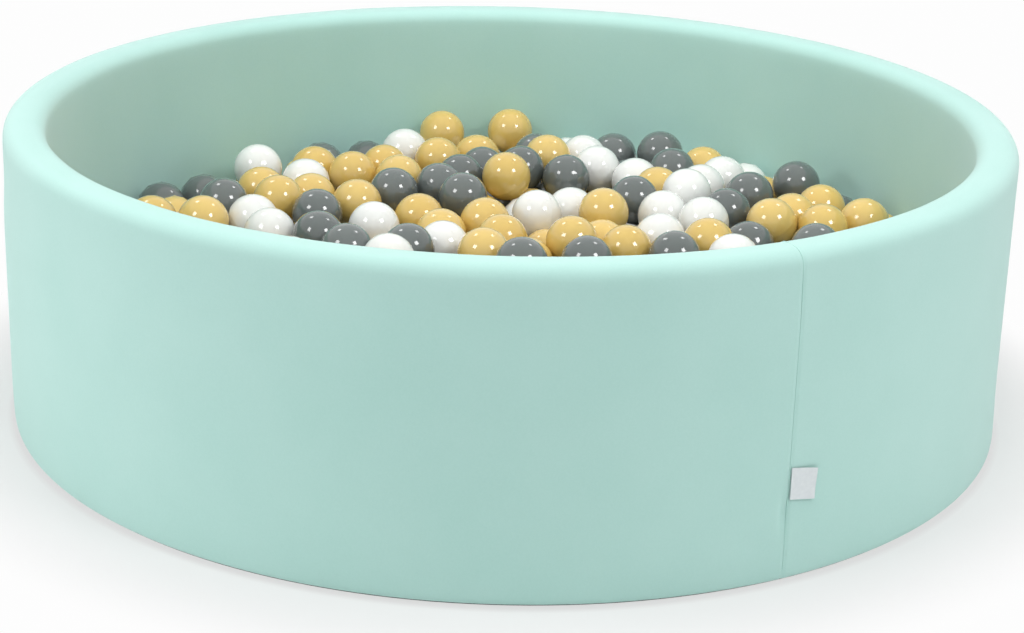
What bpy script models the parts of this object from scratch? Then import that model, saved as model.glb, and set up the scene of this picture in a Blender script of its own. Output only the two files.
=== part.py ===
# Soft round ball pit: a foam ring in a jersey cover, a foam floor mat, and a bed of balls.
# Metres, +Z up. The origin is on the floor, in the middle of the ring, and the viewer stands at -Y.

import math

import bmesh
import bpy
import numpy as np
from mathutils import Matrix, Vector

# Wall ring, over its cover
PIT_RADIUS = 0.650
PIT_HEIGHT = 0.393
WALL_THICKNESS = 0.057
RIM_ROUNDING = 0.022
FOOT_ROUNDING = 0.008
COVER_THICKNESS = 0.0012
SEAM_ANGLE = math.radians(-61.2)
SEAM_WIDTH = 0.0016
SEAM_PROUD = 0.0005
BUTT_GAP = 0.0006

# Clearances
FIT = 0.0003
MAT_CLEARANCE = 0.0005
OVERRUN = 0.020

# Label sewn into the side seam, left bare
LABEL_WIDTH = 0.035
LABEL_HEIGHT = 0.038
LABEL_THICKNESS = 0.0006
LABEL_BOTTOM = 0.102

# Zips of the two covers
COIL_WIDTH = 0.0020
COIL_HEIGHT = 0.0022
COIL_HALF_GAP = 0.0016
TAPE_WIDTH = 0.0080
TAPE_THICKNESS = 0.0008
LIP_WIDTH = 0.0060
FOLD_RUN = 0.0030
SLIDER_LENGTH = 0.0110
SLIDER_WIDTH = 0.0088
SLIDER_PLATE = 0.0010
SLIDER_PLAY = 0.0004
SLIDER_WEB = 0.0010
SLIDER_WEB_LENGTH = 0.0040
LUG_LENGTH = 0.0032
LUG_WIDTH = 0.0010
PIN_RADIUS = 0.0005
PULLER_EYE_RADIUS = 0.0014
PULLER_LENGTH = 0.0200
PULLER_WIDTH = 0.0044
PULLER_THICKNESS = 0.0010
WALL_ZIP_START = math.radians(1.5)

# Floor mat, over its cover
MAT_THICKNESS = 0.050
MAT_ROUNDING = 0.008
MAT_ZIP_SHARE = 0.7764

# Balls
BALL_RADIUS = 0.035
BALL_SPACING = 0.0008
BALL_LEVEL = 0.205
LEVEL_BAND_SHARE = 0.45
LOOSE_BALLS = 37

# The eye that the balls' places are read from, and the point on the balls' level that it looks at.
# Both are across, back from the pit's middle and above that level, as shares of the pit's radius.
EYE_SHARES = (-0.02585, -4.38431, 1.42108)
AIM_SHARES = (0.00772, -0.43508, 0.0)
EYE_ROLL = 0.0284
LENS_PIXELS = 2260.5
CENTRE_PIXEL = (512.0, 316.5)

# Middles of the balls that can be seen, in pixels of a view 1024 wide and 633 high
BEIGE_PIXELS = [
    (153, 221), (204, 221), (262, 191), (279, 201), (315, 170), (308, 197),
    (357, 204), (355, 175), (384, 168), (398, 179), (442, 133), (440, 161),
    (420, 219), (441, 234), (510, 131), (477, 158), (507, 176), (547, 158),
    (603, 213), (484, 223), (502, 240), (488, 255), (526, 262), (571, 243),
    (627, 251), (601, 245), (703, 170), (660, 190), (710, 244), (772, 224),
    (792, 218), (820, 209), (822, 229), (864, 223),
]
GREY_PIXELS = [
    (224, 203), (317, 214), (316, 237), (345, 250), (394, 192), (410, 250),
    (460, 178), (438, 187), (462, 197), (483, 169), (518, 170), (536, 156),
    (564, 178), (520, 264), (587, 262), (612, 156), (660, 154), (671, 172),
    (638, 200), (724, 212), (749, 196), (796, 185), (674, 257), (748, 246),
    (816, 249),
]
WHITE_PIXELS = [
    (258, 168), (254, 219), (272, 233), (306, 183), (374, 227), (389, 260),
    (406, 152), (440, 246), (537, 215), (571, 212), (586, 159), (601, 170),
    (635, 181), (720, 180), (698, 188), (684, 191), (663, 215), (702, 222),
    (660, 239), (733, 260),
]

# How finely round shapes are divided, and how the balls are settled
RING_STEPS = 48
RIM_ARC_STEPS = 3
PIN_SIDES = 8
EYE_SIDES = 12
BALL_SIDES = 8
BALL_RINGS = 6
UNSEEN_SIDES = 6
DEEPER_SIDES = 5
SETTLING_ROUNDS = 500
PARTING_ROUNDS = 300
PUSH_SHARE = 0.35
SIGHT_SHARE = 0.3
LEVEL_SHARE = 0.01
GOLDEN_TURN = math.radians(137.508)
COVERAGE_SHARE = 0.80
CROWDING_SHARE = 0.84
DEEPER_COVERAGE_SHARE = 0.70
LAYER_DROP_SHARE = 0.75
DEEPER_ROUNDS = 240
LIFTING_ROUNDS = 190
LIFT_SHARE = 0.011
SHOWING_SHARE = 0.50
SUNK_SHARE = 0.50
REST_SHARE = 0.50
MOUND_TURN = math.radians(45)
TOP_MOUND_RINGS = 3
DEEPER_MOUND_RINGS = 2
REST_RINGS = 1

INNER_RADIUS = PIT_RADIUS - WALL_THICKNESS
ZIP_RADIUS = PIT_RADIUS - WALL_THICKNESS / 2
RING_STEP = 2 * math.pi / RING_STEPS
FLATNESS_SHARE = math.cos(RING_STEP / 2)
MAT_RADIUS = INNER_RADIUS - MAT_CLEARANCE
HALF_MAT_ZIP = MAT_ZIP_SHARE * MAT_RADIUS
LINER_DEPTH = COVER_THICKNESS + FIT
PULLER_ROOM = 2 * PULLER_EYE_RADIUS + FIT
ZIP_HEIGHT = PULLER_ROOM + FIT
TAPE_BOTTOM = ZIP_HEIGHT + (COIL_HEIGHT - TAPE_THICKNESS) / 2
COIL_FAR_EDGE = COIL_HALF_GAP + COIL_WIDTH
TAPE_NEAR_EDGE = COIL_FAR_EDGE + FIT
TAPE_FAR_EDGE = TAPE_NEAR_EDGE + TAPE_WIDTH
LIP_NEAR_EDGE = TAPE_FAR_EDGE - LIP_WIDTH
LIP_TOP = TAPE_BOTTOM - FIT
SLIDER_TOP = ZIP_HEIGHT + COIL_HEIGHT + SLIDER_PLAY + SLIDER_PLATE
CHANNEL_TOP = SLIDER_TOP + SLIDER_PLATE
HALF_CHANNEL = TAPE_FAR_EDGE + FOLD_RUN + LINER_DEPTH
LEVEL_BAND = LEVEL_BAND_SHARE * BALL_RADIUS
BALL_PITCH = 2 * BALL_RADIUS + BALL_SPACING
DEEPER_LEVEL = BALL_LEVEL - LAYER_DROP_SHARE * BALL_PITCH
BED_TOP = DEEPER_LEVEL
BED_RADIUS = INNER_RADIUS - 2 * MAT_CLEARANCE
BALL_REACH = INNER_RADIUS * FLATNESS_SHARE - BALL_RADIUS - FIT

MINT = (0.47, 0.64, 0.57)
CREAM = (0.74, 0.50, 0.19)
STONE_GREY = (0.15, 0.18, 0.19)
PEARL = (0.84, 0.84, 0.82)
FOAM_YELLOW = (0.80, 0.74, 0.55)
SATIN = (0.86, 0.86, 0.84)
GRIP_GREY = (0.22, 0.24, 0.24)
ZIP_METAL = (0.55, 0.56, 0.56)


def clear_scene():
    for old in list(bpy.data.objects):
        bpy.data.objects.remove(old, do_unlink=True)


def finish(name, colour, roughness, metallic=0.0):
    """A plain material with the piece's own colour and shine."""
    material = bpy.data.materials.new(name)
    material.use_nodes = True
    shader = material.node_tree.nodes["Principled BSDF"]
    shader.inputs["Base Color"].default_value = (*colour, 1.0)
    shader.inputs["Roughness"].default_value = roughness
    shader.inputs["Metallic"].default_value = metallic
    return material


def put_in_scene(name, mesh, material, origin=(0, 0, 0)):
    """Link a mesh, given in world places, as an object whose own origin is at origin."""
    mesh.transform(Matrix.Translation(-Vector(origin)))
    mesh.materials.append(material)
    piece = bpy.data.objects.new(name, mesh)
    piece.location = origin
    bpy.context.scene.collection.objects.link(piece)
    return piece


def mesh_of(name, shape):
    """Turn a bmesh into a mesh whose faces all point out, shaded smooth but for its corners."""
    bmesh.ops.recalc_face_normals(shape, faces=shape.faces)
    mesh = bpy.data.meshes.new(name)
    shape.to_mesh(mesh)
    shape.free()
    mesh.shade_smooth()
    mesh.set_sharp_from_angle(angle=math.radians(35))
    return mesh


def loft(name, sections, closed=False):
    """Skin a row of sections, each a loop of as many points, and close it on itself or with ends."""
    shape = bmesh.new()
    loops = [[shape.verts.new(point) for point in section] for section in sections]
    count = len(loops[0])
    follow = loops[1:] + loops[:1] if closed else loops[1:]
    for near, far in zip(loops, follow):
        for i in range(count):
            j = (i + 1) % count
            shape.faces.new((near[i], near[j], far[j], far[i]))
    if not closed:
        shape.faces.new(loops[0])
        shape.faces.new(list(reversed(loops[-1])))
    return mesh_of(name, shape)


def around(radius, height, angle):
    return (radius * math.cos(angle), radius * math.sin(angle), height)


def swept(name, outline, angles, closed=False):
    """Sweep an outline of radius and height round the pit's middle, through the given angles."""
    sections = [[around(r, z, angle) for r, z in outline] for angle in angles]
    return loft(name, sections, closed)


def turned(name, outline):
    """Turn an outline of rings round the middle, with a flat disc closing its first and last ring."""
    rings = [[around(r, z, angle) for angle in ring_angles()] for r, z in outline]
    return loft(name, rings)


def straight(name, outline, half_length):
    """Run an outline of y and z places along X."""
    sections = [[(x, y, z) for y, z in outline] for x in (-half_length, half_length)]
    return loft(name, sections)


def ring_angles(first=0, last=RING_STEPS - 1):
    """Angles of the ring's corners, counted from the seam."""
    return [SEAM_ANGLE + k * RING_STEP for k in range(first, last + 1)]


def arc(middle, radius, start, end, steps):
    """Points of an arc in an outline, both ends counted, with angles in degrees."""
    turns = [math.radians(start + (end - start) * k / steps) for k in range(steps + 1)]
    return [(middle[0] + radius * math.cos(a), middle[1] + radius * math.sin(a)) for a in turns]


def wall_outline(inset):
    """The wall's section, from the outer foot over the rim to the inner foot, drawn in by inset."""
    outer = PIT_RADIUS - inset
    inner = INNER_RADIUS + inset
    bend = RIM_ROUNDING - inset
    arc_height = PIT_HEIGHT - RIM_ROUNDING
    outline = [(PIT_RADIUS - FOOT_ROUNDING, inset), (outer, FOOT_ROUNDING)]
    outline += arc((PIT_RADIUS - RIM_ROUNDING, arc_height), bend, 0, 90, RIM_ARC_STEPS)
    outline += arc((INNER_RADIUS + RIM_ROUNDING, arc_height), bend, 90, 180, RIM_ARC_STEPS)
    outline += [(inner, FOOT_ROUNDING), (INNER_RADIUS + FOOT_ROUNDING, inset)]
    return outline


def box_outline(low_u, high_u, low_w, high_w):
    return [(low_u, low_w), (high_u, low_w), (high_u, high_w), (low_u, high_w)]


def mirrored(outline, middle, side):
    """Place an outline, drawn outward from a zip's middle line, on one side of that line."""
    return [(middle + side * u, w) for u, w in outline]


def lip_outline(far_edge):
    """A base panel's section: flat on the floor, then folded up to where the zip is sewn on."""
    return [
        (far_edge, 0),
        (TAPE_FAR_EDGE + FOLD_RUN, 0),
        (TAPE_FAR_EDGE, LIP_TOP - COVER_THICKNESS),
        (LIP_NEAR_EDGE, LIP_TOP - COVER_THICKNESS),
        (LIP_NEAR_EDGE, LIP_TOP),
        (TAPE_FAR_EDGE + COVER_THICKNESS, LIP_TOP),
        (TAPE_FAR_EDGE + FOLD_RUN + COVER_THICKNESS, COVER_THICKNESS),
        (far_edge, COVER_THICKNESS),
    ]


def tape_outline():
    return box_outline(TAPE_NEAR_EDGE, TAPE_FAR_EDGE, TAPE_BOTTOM, TAPE_BOTTOM + TAPE_THICKNESS)


def coil_outline():
    return box_outline(COIL_HALF_GAP, COIL_FAR_EDGE, ZIP_HEIGHT, ZIP_HEIGHT + COIL_HEIGHT)


def make_wall_foam(foam):
    """A long foam block bent into a ring, its two ends butted together at the seam."""
    outline = wall_outline(LINER_DEPTH)
    outline += [
        (ZIP_RADIUS - HALF_CHANNEL, LINER_DEPTH),
        (ZIP_RADIUS - HALF_CHANNEL, CHANNEL_TOP),
        (ZIP_RADIUS + HALF_CHANNEL, CHANNEL_TOP),
        (ZIP_RADIUS + HALF_CHANNEL, LINER_DEPTH),
    ]
    butt = BUTT_GAP / 2 / PIT_RADIUS
    angles = [SEAM_ANGLE + butt] + ring_angles(1) + [SEAM_ANGLE + 2 * math.pi - butt]
    put_in_scene("wall_foam", swept("wall_foam", outline, angles), foam)


def make_wall_cover(jersey):
    """The sleeve of jersey over the ring, open below where the base strips close it."""
    outline = wall_outline(0) + list(reversed(wall_outline(COVER_THICKNESS)))
    mesh = swept("wall_cover", outline, ring_angles(), closed=True)
    put_in_scene("wall_cover", mesh, jersey)


def make_cover_seam(jersey):
    """The sewn seam that joins the sleeve's two ends, up the outside and over the rim.

    It ends short of the inner wall, so the mat lifts out past it.
    """
    under = wall_outline(-FIT)[1:-3]
    over = wall_outline(-FIT - SEAM_PROUD)[1:-3]
    half_turn = SEAM_WIDTH / 2 / PIT_RADIUS
    sections = []
    for low, high in zip(under, over):
        section = []
        for point, side in ((low, -1), (low, 1), (high, 1), (high, -1)):
            section.append(around(point[0], point[1], SEAM_ANGLE + side * half_turn))
        sections.append(section)
    put_in_scene("cover_seam", loft("cover_seam", sections), jersey)


def make_side_label(satin):
    """A folded satin tab whose left edge is caught in the seam. It is left bare."""
    corner = Vector(around(PIT_RADIUS, 0, SEAM_ANGLE))
    along = (Vector(around(PIT_RADIUS, 0, SEAM_ANGLE + RING_STEP)) - corner).normalized()
    out = along.cross(Vector((0, 0, 1)))
    start = SEAM_WIDTH / 2 + FIT
    sections = []
    for height in (LABEL_BOTTOM, LABEL_BOTTOM + LABEL_HEIGHT):
        section = []
        for run, proud in box_outline(start, start + LABEL_WIDTH, FIT, FIT + LABEL_THICKNESS):
            section.append(corner + along * run + out * proud + Vector((0, 0, height)))
        sections.append(section)
    put_in_scene("side_label", loft("side_label", sections), satin)


def make_wall_base(grip, tape_cloth, coil_nylon):
    """Two strips of non-slip cloth under the ring, and the long zip sewn between them."""
    far_edge = WALL_THICKNESS / 2 - FOOT_ROUNDING - FIT
    whole = ring_angles()
    zipped = ring_angles(1)
    for word, side in (("outer", 1), ("inner", -1)):
        strip = mirrored(lip_outline(far_edge), ZIP_RADIUS, side)
        tape = mirrored(tape_outline(), ZIP_RADIUS, side)
        coil = mirrored(coil_outline(), ZIP_RADIUS, side)
        name = "base_strip_" + word
        put_in_scene(name, swept(name, strip, whole, closed=True), grip)
        name = "wall_zip_tape_" + word
        put_in_scene(name, swept(name, tape, zipped), tape_cloth)
        name = "wall_zip_coil_" + word
        put_in_scene(name, swept(name, coil, zipped), coil_nylon)


def block(shape, low, high):
    """Add a box to a bmesh by its lowest and highest corners."""
    middle = (Vector(low) + Vector(high)) / 2
    size = Vector(high) - Vector(low)
    place = Matrix.Translation(middle) @ Matrix.Diagonal((*size, 1))
    bmesh.ops.create_cube(shape, size=1, matrix=place)


def joined_blocks(name, blocks):
    """Join boxes that overlap or touch into one closed body."""
    whole = None
    for low, high in blocks:
        shape = bmesh.new()
        block(shape, low, high)
        mesh = mesh_of(name, shape)
        whole = mesh if whole is None else combined(whole, mesh, "UNION")
    return whole


def combined(mesh, other, operation):
    """Join or cut one mesh by another."""
    first = bpy.data.objects.new("first", mesh)
    second = bpy.data.objects.new("second", other)
    for helper in (first, second):
        bpy.context.scene.collection.objects.link(helper)
    modifier = first.modifiers.new("cut", "BOOLEAN")
    modifier.operation = operation
    modifier.solver = "EXACT"
    modifier.object = second
    bpy.context.view_layer.update()
    evaluated = first.evaluated_get(bpy.context.evaluated_depsgraph_get())
    result = bpy.data.meshes.new_from_object(evaluated)
    for helper in (first, second):
        bpy.data.objects.remove(helper, do_unlink=True)
    return result


def slider_mesh():
    """A zip slider on the track's X axis: two plates, the web between the rows, and the puller's pin."""
    half_length = SLIDER_LENGTH / 2
    half_width = SLIDER_WIDTH / 2
    half_web = SLIDER_WEB / 2
    lower_top = ZIP_HEIGHT - SLIDER_PLAY
    lower_bottom = lower_top - SLIDER_PLATE
    upper_bottom = SLIDER_TOP - SLIDER_PLATE
    lug_near = PULLER_WIDTH / 2 + FIT
    lug_far = lug_near + LUG_WIDTH
    lug_end = half_length + LUG_LENGTH
    pin_height = FIT + PULLER_EYE_RADIUS
    lug_bottom = pin_height - PULLER_EYE_RADIUS
    web_end = half_length - SLIDER_WEB
    blocks = [
        ((-half_length, -half_width, lower_bottom), (half_length, half_width, lower_top)),
        ((-half_length, -half_width, upper_bottom), (half_length, half_width, SLIDER_TOP)),
        ((web_end - SLIDER_WEB_LENGTH, -half_web, lower_bottom), (web_end, half_web, SLIDER_TOP)),
    ]
    for side in (-1, 1):
        edges = sorted((side * lug_near, side * lug_far))
        start = half_length - LUG_WIDTH
        blocks.append(((start, edges[0], lug_bottom), (lug_end, edges[1], lower_top)))
    body = joined_blocks("slider", blocks)
    pin = rod(PIN_RADIUS, PIN_SIDES, lug_near + LUG_WIDTH / 2, pin_place())
    return combined(body, pin, "UNION")


def pin_place():
    """Where the puller's pin runs, along and above the track, on a slider at the origin."""
    return (SLIDER_LENGTH / 2 + LUG_LENGTH / 2, FIT + PULLER_EYE_RADIUS)


def rod(radius, sides, half_length, place):
    """A rod along Y through a place given along X and Z."""
    turns = [2 * math.pi * (k + 1 / 2) / sides for k in range(sides)]
    sections = []
    for y in (-half_length, half_length):
        loop = [(place[0] + radius * math.cos(a), y, place[1] + radius * math.sin(a)) for a in turns]
        sections.append(loop)
    return loft("rod", sections)


def puller_mesh():
    """The flat tab that turns on the slider's pin, lying back under the slider."""
    place = pin_place()
    half_width = PULLER_WIDTH / 2
    eye = rod(PULLER_EYE_RADIUS, EYE_SIDES, half_width, place)
    shape = bmesh.new()
    low = (place[0] - PULLER_LENGTH, -half_width, FIT)
    high = (place[0], half_width, FIT + PULLER_THICKNESS)
    block(shape, low, high)
    tab = mesh_of("tab", shape)
    bore = rod(PIN_RADIUS + FIT, EYE_SIDES, half_width + OVERRUN, place)
    return combined(combined(eye, tab, "UNION"), bore, "DIFFERENCE")


def place_zip_runner(name, turn, zinc):
    """Put a slider and its puller on a track, each with its origin on its own joint's axis."""
    slider = slider_mesh()
    slider.transform(turn)
    middle = turn @ Vector((0, 0, 0))
    put_in_scene(name + "_slider", slider, zinc, (middle.x, middle.y, 0))
    puller = puller_mesh()
    puller.transform(turn)
    along, height = pin_place()
    put_in_scene(name + "_puller", puller, zinc, turn @ Vector((along, 0, height)))


def make_wall_runner(zinc):
    """The ring's slider stands at the closed end of the zip, next to the seam."""
    angle = SEAM_ANGLE + RING_STEP + WALL_ZIP_START
    track = ZIP_RADIUS * (1 + FLATNESS_SHARE) / 2
    turn = Matrix.Rotation(angle, 4, "Z") @ Matrix.Translation((track, 0, 0))
    turn = turn @ Matrix.Rotation(math.pi / 2, 4, "Z")
    place_zip_runner("wall_zip", turn, zinc)


def make_mat_foam(foam):
    """The floor mat's round foam, with the hollow that its zip presses into the underside."""
    depth = LINER_DEPTH
    outline = [
        (MAT_RADIUS - MAT_ROUNDING, MAT_THICKNESS - depth),
        (MAT_RADIUS - depth, MAT_THICKNESS - MAT_ROUNDING),
        (MAT_RADIUS - depth, depth),
    ]
    disc = turned("mat_foam", outline)
    cutter = box_outline(-HALF_CHANNEL, HALF_CHANNEL, -OVERRUN, CHANNEL_TOP)
    channel = straight("channel", cutter, MAT_RADIUS + OVERRUN)
    put_in_scene("mat_foam", combined(disc, channel, "DIFFERENCE"), foam)


def make_mat_cover(jersey):
    """The mat's upper cover: its top and side in one shell, open below."""
    depth = COVER_THICKNESS
    outline = [
        (MAT_RADIUS - MAT_ROUNDING, MAT_THICKNESS),
        (MAT_RADIUS, MAT_THICKNESS - MAT_ROUNDING),
        (MAT_RADIUS, LINER_DEPTH),
        (MAT_RADIUS - depth, LINER_DEPTH),
        (MAT_RADIUS - depth, MAT_THICKNESS - MAT_ROUNDING),
        (MAT_RADIUS - MAT_ROUNDING, MAT_THICKNESS - depth),
    ]
    put_in_scene("mat_cover_top", turned("mat_cover_top", outline), jersey)


def make_mat_base(grip, tape_cloth, coil_nylon):
    """Two half discs of non-slip cloth under the mat, and the straight zip sewn between them."""
    corners = [k * RING_STEP for k in range(1, RING_STEPS // 2)]
    for word, side in (("front", -1), ("rear", 1)):
        sections = []
        for angle in corners:
            x, far_edge, _ = around(MAT_RADIUS * FLATNESS_SHARE, 0, angle)
            panel = mirrored(lip_outline(far_edge), 0, side)
            sections.append([(x, y, z) for y, z in panel])
        name = "mat_base_" + word
        put_in_scene(name, loft(name, sections), grip)
        name = "mat_zip_tape_" + word
        put_in_scene(name, straight(name, mirrored(tape_outline(), 0, side), HALF_MAT_ZIP), tape_cloth)
        name = "mat_zip_coil_" + word
        put_in_scene(name, straight(name, mirrored(coil_outline(), 0, side), HALF_MAT_ZIP), coil_nylon)


def make_mat_runner(zinc):
    """The mat's slider stands at the closed end of its zip."""
    place_zip_runner("mat_zip", Matrix.Translation((SLIDER_LENGTH - HALF_MAT_ZIP, 0, 0)), zinc)


def sight_lines(pixels):
    """The eye's place, and the direction from it through each pixel."""
    ahead = np.array(AIM_SHARES) - np.array(EYE_SHARES)
    ahead /= np.linalg.norm(ahead)
    level = np.array([ahead[1], -ahead[0], 0]) / math.hypot(ahead[0], ahead[1])
    above = np.cross(level, ahead)
    right = math.cos(EYE_ROLL) * level + math.sin(EYE_ROLL) * above
    up = math.cos(EYE_ROLL) * above - math.sin(EYE_ROLL) * level
    offsets = (np.array(pixels, float) - CENTRE_PIXEL) / LENS_PIXELS
    lines = ahead + offsets[:, :1] * right - offsets[:, 1:] * up
    lines /= np.linalg.norm(lines, axis=1)[:, None]
    return np.array(EYE_SHARES) * PIT_RADIUS + np.array([0, 0, BALL_LEVEL]), lines


def on_the_level(eye, lines):
    """Where each sight line meets the balls' level."""
    return eye + lines * ((BALL_LEVEL - eye[2]) / lines[:, 2])[:, None]


def behind_the_rim(eye, place):
    """Whether the near rim hides the top of a ball at this place from the eye."""
    run = place[:2] - eye[:2]
    square = run @ run
    toward = eye[:2] @ run
    outside = eye[:2] @ eye[:2] - ZIP_RADIUS ** 2
    share = (-toward - math.sqrt(toward ** 2 - square * outside)) / square
    return eye[2] + share * (place[2] + BALL_RADIUS - eye[2]) < PIT_HEIGHT


def scattered(coverage, level):
    """An even, irregular scatter of places over the whole bed, round a level."""
    count = round(coverage * (2 * (BALL_REACH + BALL_RADIUS) / BALL_PITCH) ** 2)
    places = []
    for k in range(count):
        out = BALL_REACH * math.sqrt((k + 1 / 2) / count)
        height = level + LEVEL_BAND * math.sin(k * k)
        places.append(around(out, height, k * GOLDEN_TURN))
    return np.array(places)


def unseen_places(eye, seen):
    """Places for more balls, in the part of the bed that the near rim hides."""
    places = []
    for place in scattered(COVERAGE_SHARE, BALL_LEVEL):
        free = np.linalg.norm(seen - place, axis=1).min() > CROWDING_SHARE * BALL_PITCH
        if free and behind_the_rim(eye, place):
            places.append(place)
    return np.array(places)


def pushes(places, others):
    """How far each ball is pushed by the others that it overlaps."""
    apart = places[:, None] - others[None]
    distance = np.linalg.norm(apart, axis=2)
    distance[distance == 0] = 2 * BALL_PITCH
    overlap = np.maximum(BALL_PITCH - distance, 0)
    return (apart / distance[..., None] * overlap[..., None]).sum(axis=1) * PUSH_SHARE


def kept_inside(places, lowest, highest):
    """The same places, held between two levels and inside the wall."""
    out = np.hypot(places[:, 0], places[:, 1])
    across = places[:, :2] * np.minimum(1, BALL_REACH / np.maximum(out, FIT))[:, None]
    return np.column_stack([across, np.clip(places[:, 2], lowest, highest)])


def settle(places, eye, lines):
    """Push the balls apart, and hold the seen ones, which come first, on their sight lines."""
    seen = len(lines)
    on_level = on_the_level(eye, lines)
    places = places.copy()
    for round_number in range(SETTLING_ROUNDS + PARTING_ROUNDS):
        places += pushes(places, places)
        if round_number < SETTLING_ROUNDS:
            along = ((places[:seen] - eye) * lines).sum(axis=1)
            on_line = eye + lines * along[:, None]
            places[:seen] += SIGHT_SHARE * (on_line - places[:seen])
            places[:seen] += LEVEL_SHARE * (on_level - places[:seen])
        places = kept_inside(places, BALL_LEVEL - LEVEL_BAND, BALL_LEVEL + LEVEL_BAND)
    return places


def deeper_places(top):
    """The balls of the next layer, pushed clear of the top one and held up against it."""
    places = scattered(DEEPER_COVERAGE_SHARE, DEEPER_LEVEL)
    highest = BALL_LEVEL - BALL_RADIUS
    for round_number in range(DEEPER_ROUNDS):
        places += pushes(places, places) + pushes(places, top)
        if round_number < LIFTING_ROUNDS:
            places[:, 2] += LIFT_SHARE * BALL_PITCH
        places = kept_inside(places, highest - LAYER_DROP_SHARE * BALL_PITCH, highest)
    return places


def showing_places(deeper, top):
    """The deeper balls that stand out of the bed and have no ball of the top layer right above."""
    across = np.linalg.norm(deeper[:, None, :2] - top[None, :, :2], axis=2).min(axis=1)
    stands_out = deeper[:, 2] > BED_TOP - SUNK_SHARE * BALL_RADIUS
    return deeper[stands_out & (across > SHOWING_SHARE * BALL_PITCH)]


def ball_places():
    """The seen balls' middles and colours, the loose ones among them, and the unseen balls' middles."""
    colours = ["beige"] * len(BEIGE_PIXELS) + ["grey"] * len(GREY_PIXELS)
    colours += ["white"] * len(WHITE_PIXELS)
    eye, lines = sight_lines(BEIGE_PIXELS + GREY_PIXELS + WHITE_PIXELS)
    seen = on_the_level(eye, lines)
    order = np.argsort(np.hypot(seen[:, 0], seen[:, 1]), kind="stable")
    loose = sorted(order[:LOOSE_BALLS])
    places = settle(np.vstack([seen, unseen_places(eye, seen)]), eye, lines)
    return places[:len(colours)], colours, loose, places[len(colours):]


def spheres(name, middles, radius, sides, rings):
    """One mesh of separate balls, each with its poles up and down."""
    shape = bmesh.new()
    for middle in middles:
        place = Matrix.Translation(Vector(middle))
        bmesh.ops.create_uvsphere(
            shape, u_segments=sides, v_segments=rings, radius=radius, matrix=place
        )
    return mesh_of(name, shape)


def mounds(name, tips, radius, sides, rings):
    """One mesh of balls, rounded from the tip to the last ring and straight from there into the bed."""
    shape = bmesh.new()
    turns = [2 * math.pi * k / sides for k in range(sides)]
    for tip_place in tips:
        tip = shape.verts.new(tip_place)
        widths = [radius * math.sin(k * MOUND_TURN) for k in range(1, rings + 1)]
        drops = [radius * (1 - math.cos(k * MOUND_TURN)) for k in range(1, rings + 1)]
        foot_drop = tip.co.z - BED_TOP + OVERRUN
        loops = []
        for width, drop in zip(widths + widths[-1:], drops + [foot_drop]):
            corners = [tip.co + Vector(around(width, -drop, turn)) for turn in turns]
            loops.append([shape.verts.new(corner) for corner in corners])
        for k in range(sides):
            following = (k + 1) % sides
            shape.faces.new((tip, loops[0][k], loops[0][following]))
            for high, low in zip(loops, loops[1:]):
                shape.faces.new((high[k], low[k], low[following], high[following]))
        shape.faces.new(loops[-1][::-1])
    return mesh_of(name, shape)


def make_balls(plastics):
    """The loose balls nearest the middle, each its own piece, and the bed that the rest make."""
    seen, colours, loose, unseen = ball_places()
    packed = [index for index in range(len(seen)) if index not in loose]
    top = np.vstack([seen, unseen])
    showing = showing_places(deeper_places(top), top)
    bed = turned("ball_bed", [(BED_RADIUS, MAT_THICKNESS + FIT), (BED_RADIUS, BED_TOP)])
    rise = np.array([0, 0, BALL_RADIUS])
    for middles, sides, rings in (
        (seen[packed], BALL_SIDES, TOP_MOUND_RINGS),
        (unseen, UNSEEN_SIDES, TOP_MOUND_RINGS),
        (showing, DEEPER_SIDES, DEEPER_MOUND_RINGS),
    ):
        bed = combined(bed, mounds("mounds", middles + rise, BALL_RADIUS, sides, rings), "UNION")
    sockets = spheres("sockets", seen[loose], BALL_RADIUS + FIT, BALL_SIDES, BALL_RINGS)
    bed = combined(bed, sockets, "DIFFERENCE")
    rests = seen[loose] - rise - np.array([0, 0, FIT])
    rest_mounds = mounds("rests", rests, REST_SHARE * BALL_RADIUS, DEEPER_SIDES, REST_RINGS)
    put_in_scene("ball_bed", combined(bed, rest_mounds, "UNION"), plastics["beige"])
    numbers = {"beige": 0, "grey": 0, "white": 0}
    for index in loose:
        colour = colours[index]
        numbers[colour] += 1
        name = f"ball_{colour}_{numbers[colour]:02d}"
        mesh = spheres(name, [seen[index]], BALL_RADIUS, BALL_SIDES, BALL_RINGS)
        put_in_scene(name, mesh, plastics[colour], tuple(seen[index]))


def main():
    clear_scene()
    jersey = finish("mint_jersey", MINT, 0.9)
    foam = finish("foam", FOAM_YELLOW, 0.95)
    grip = finish("grip_cloth", GRIP_GREY, 0.9)
    satin = finish("satin", SATIN, 0.5)
    tape_cloth = finish("zip_tape", MINT, 0.85)
    coil_nylon = finish("zip_coil", MINT, 0.45)
    zinc = finish("zinc", ZIP_METAL, 0.35, 1.0)
    plastics = {
        "beige": finish("ball_beige", CREAM, 0.2),
        "grey": finish("ball_grey", STONE_GREY, 0.2),
        "white": finish("ball_white", PEARL, 0.2),
    }
    make_wall_foam(foam)
    make_wall_cover(jersey)
    make_cover_seam(jersey)
    make_side_label(satin)
    make_wall_base(grip, tape_cloth, coil_nylon)
    make_wall_runner(zinc)
    make_mat_foam(foam)
    make_mat_cover(jersey)
    make_mat_base(grip, tape_cloth, coil_nylon)
    make_mat_runner(zinc)
    make_balls(plastics)


main()
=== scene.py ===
# %% [markdown]
# # A soft round ball pit
# The real thing is a foam ring in a stretch jersey cover, a round foam mat on the floor inside it,
# and hundreds of glossy hollow balls. The rigid model comes first, as a frame that is never moved.
# Every piece made below rides on one of its bodies, so the pit can still be taken apart.

# %% Load the rigid model
import math

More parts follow.
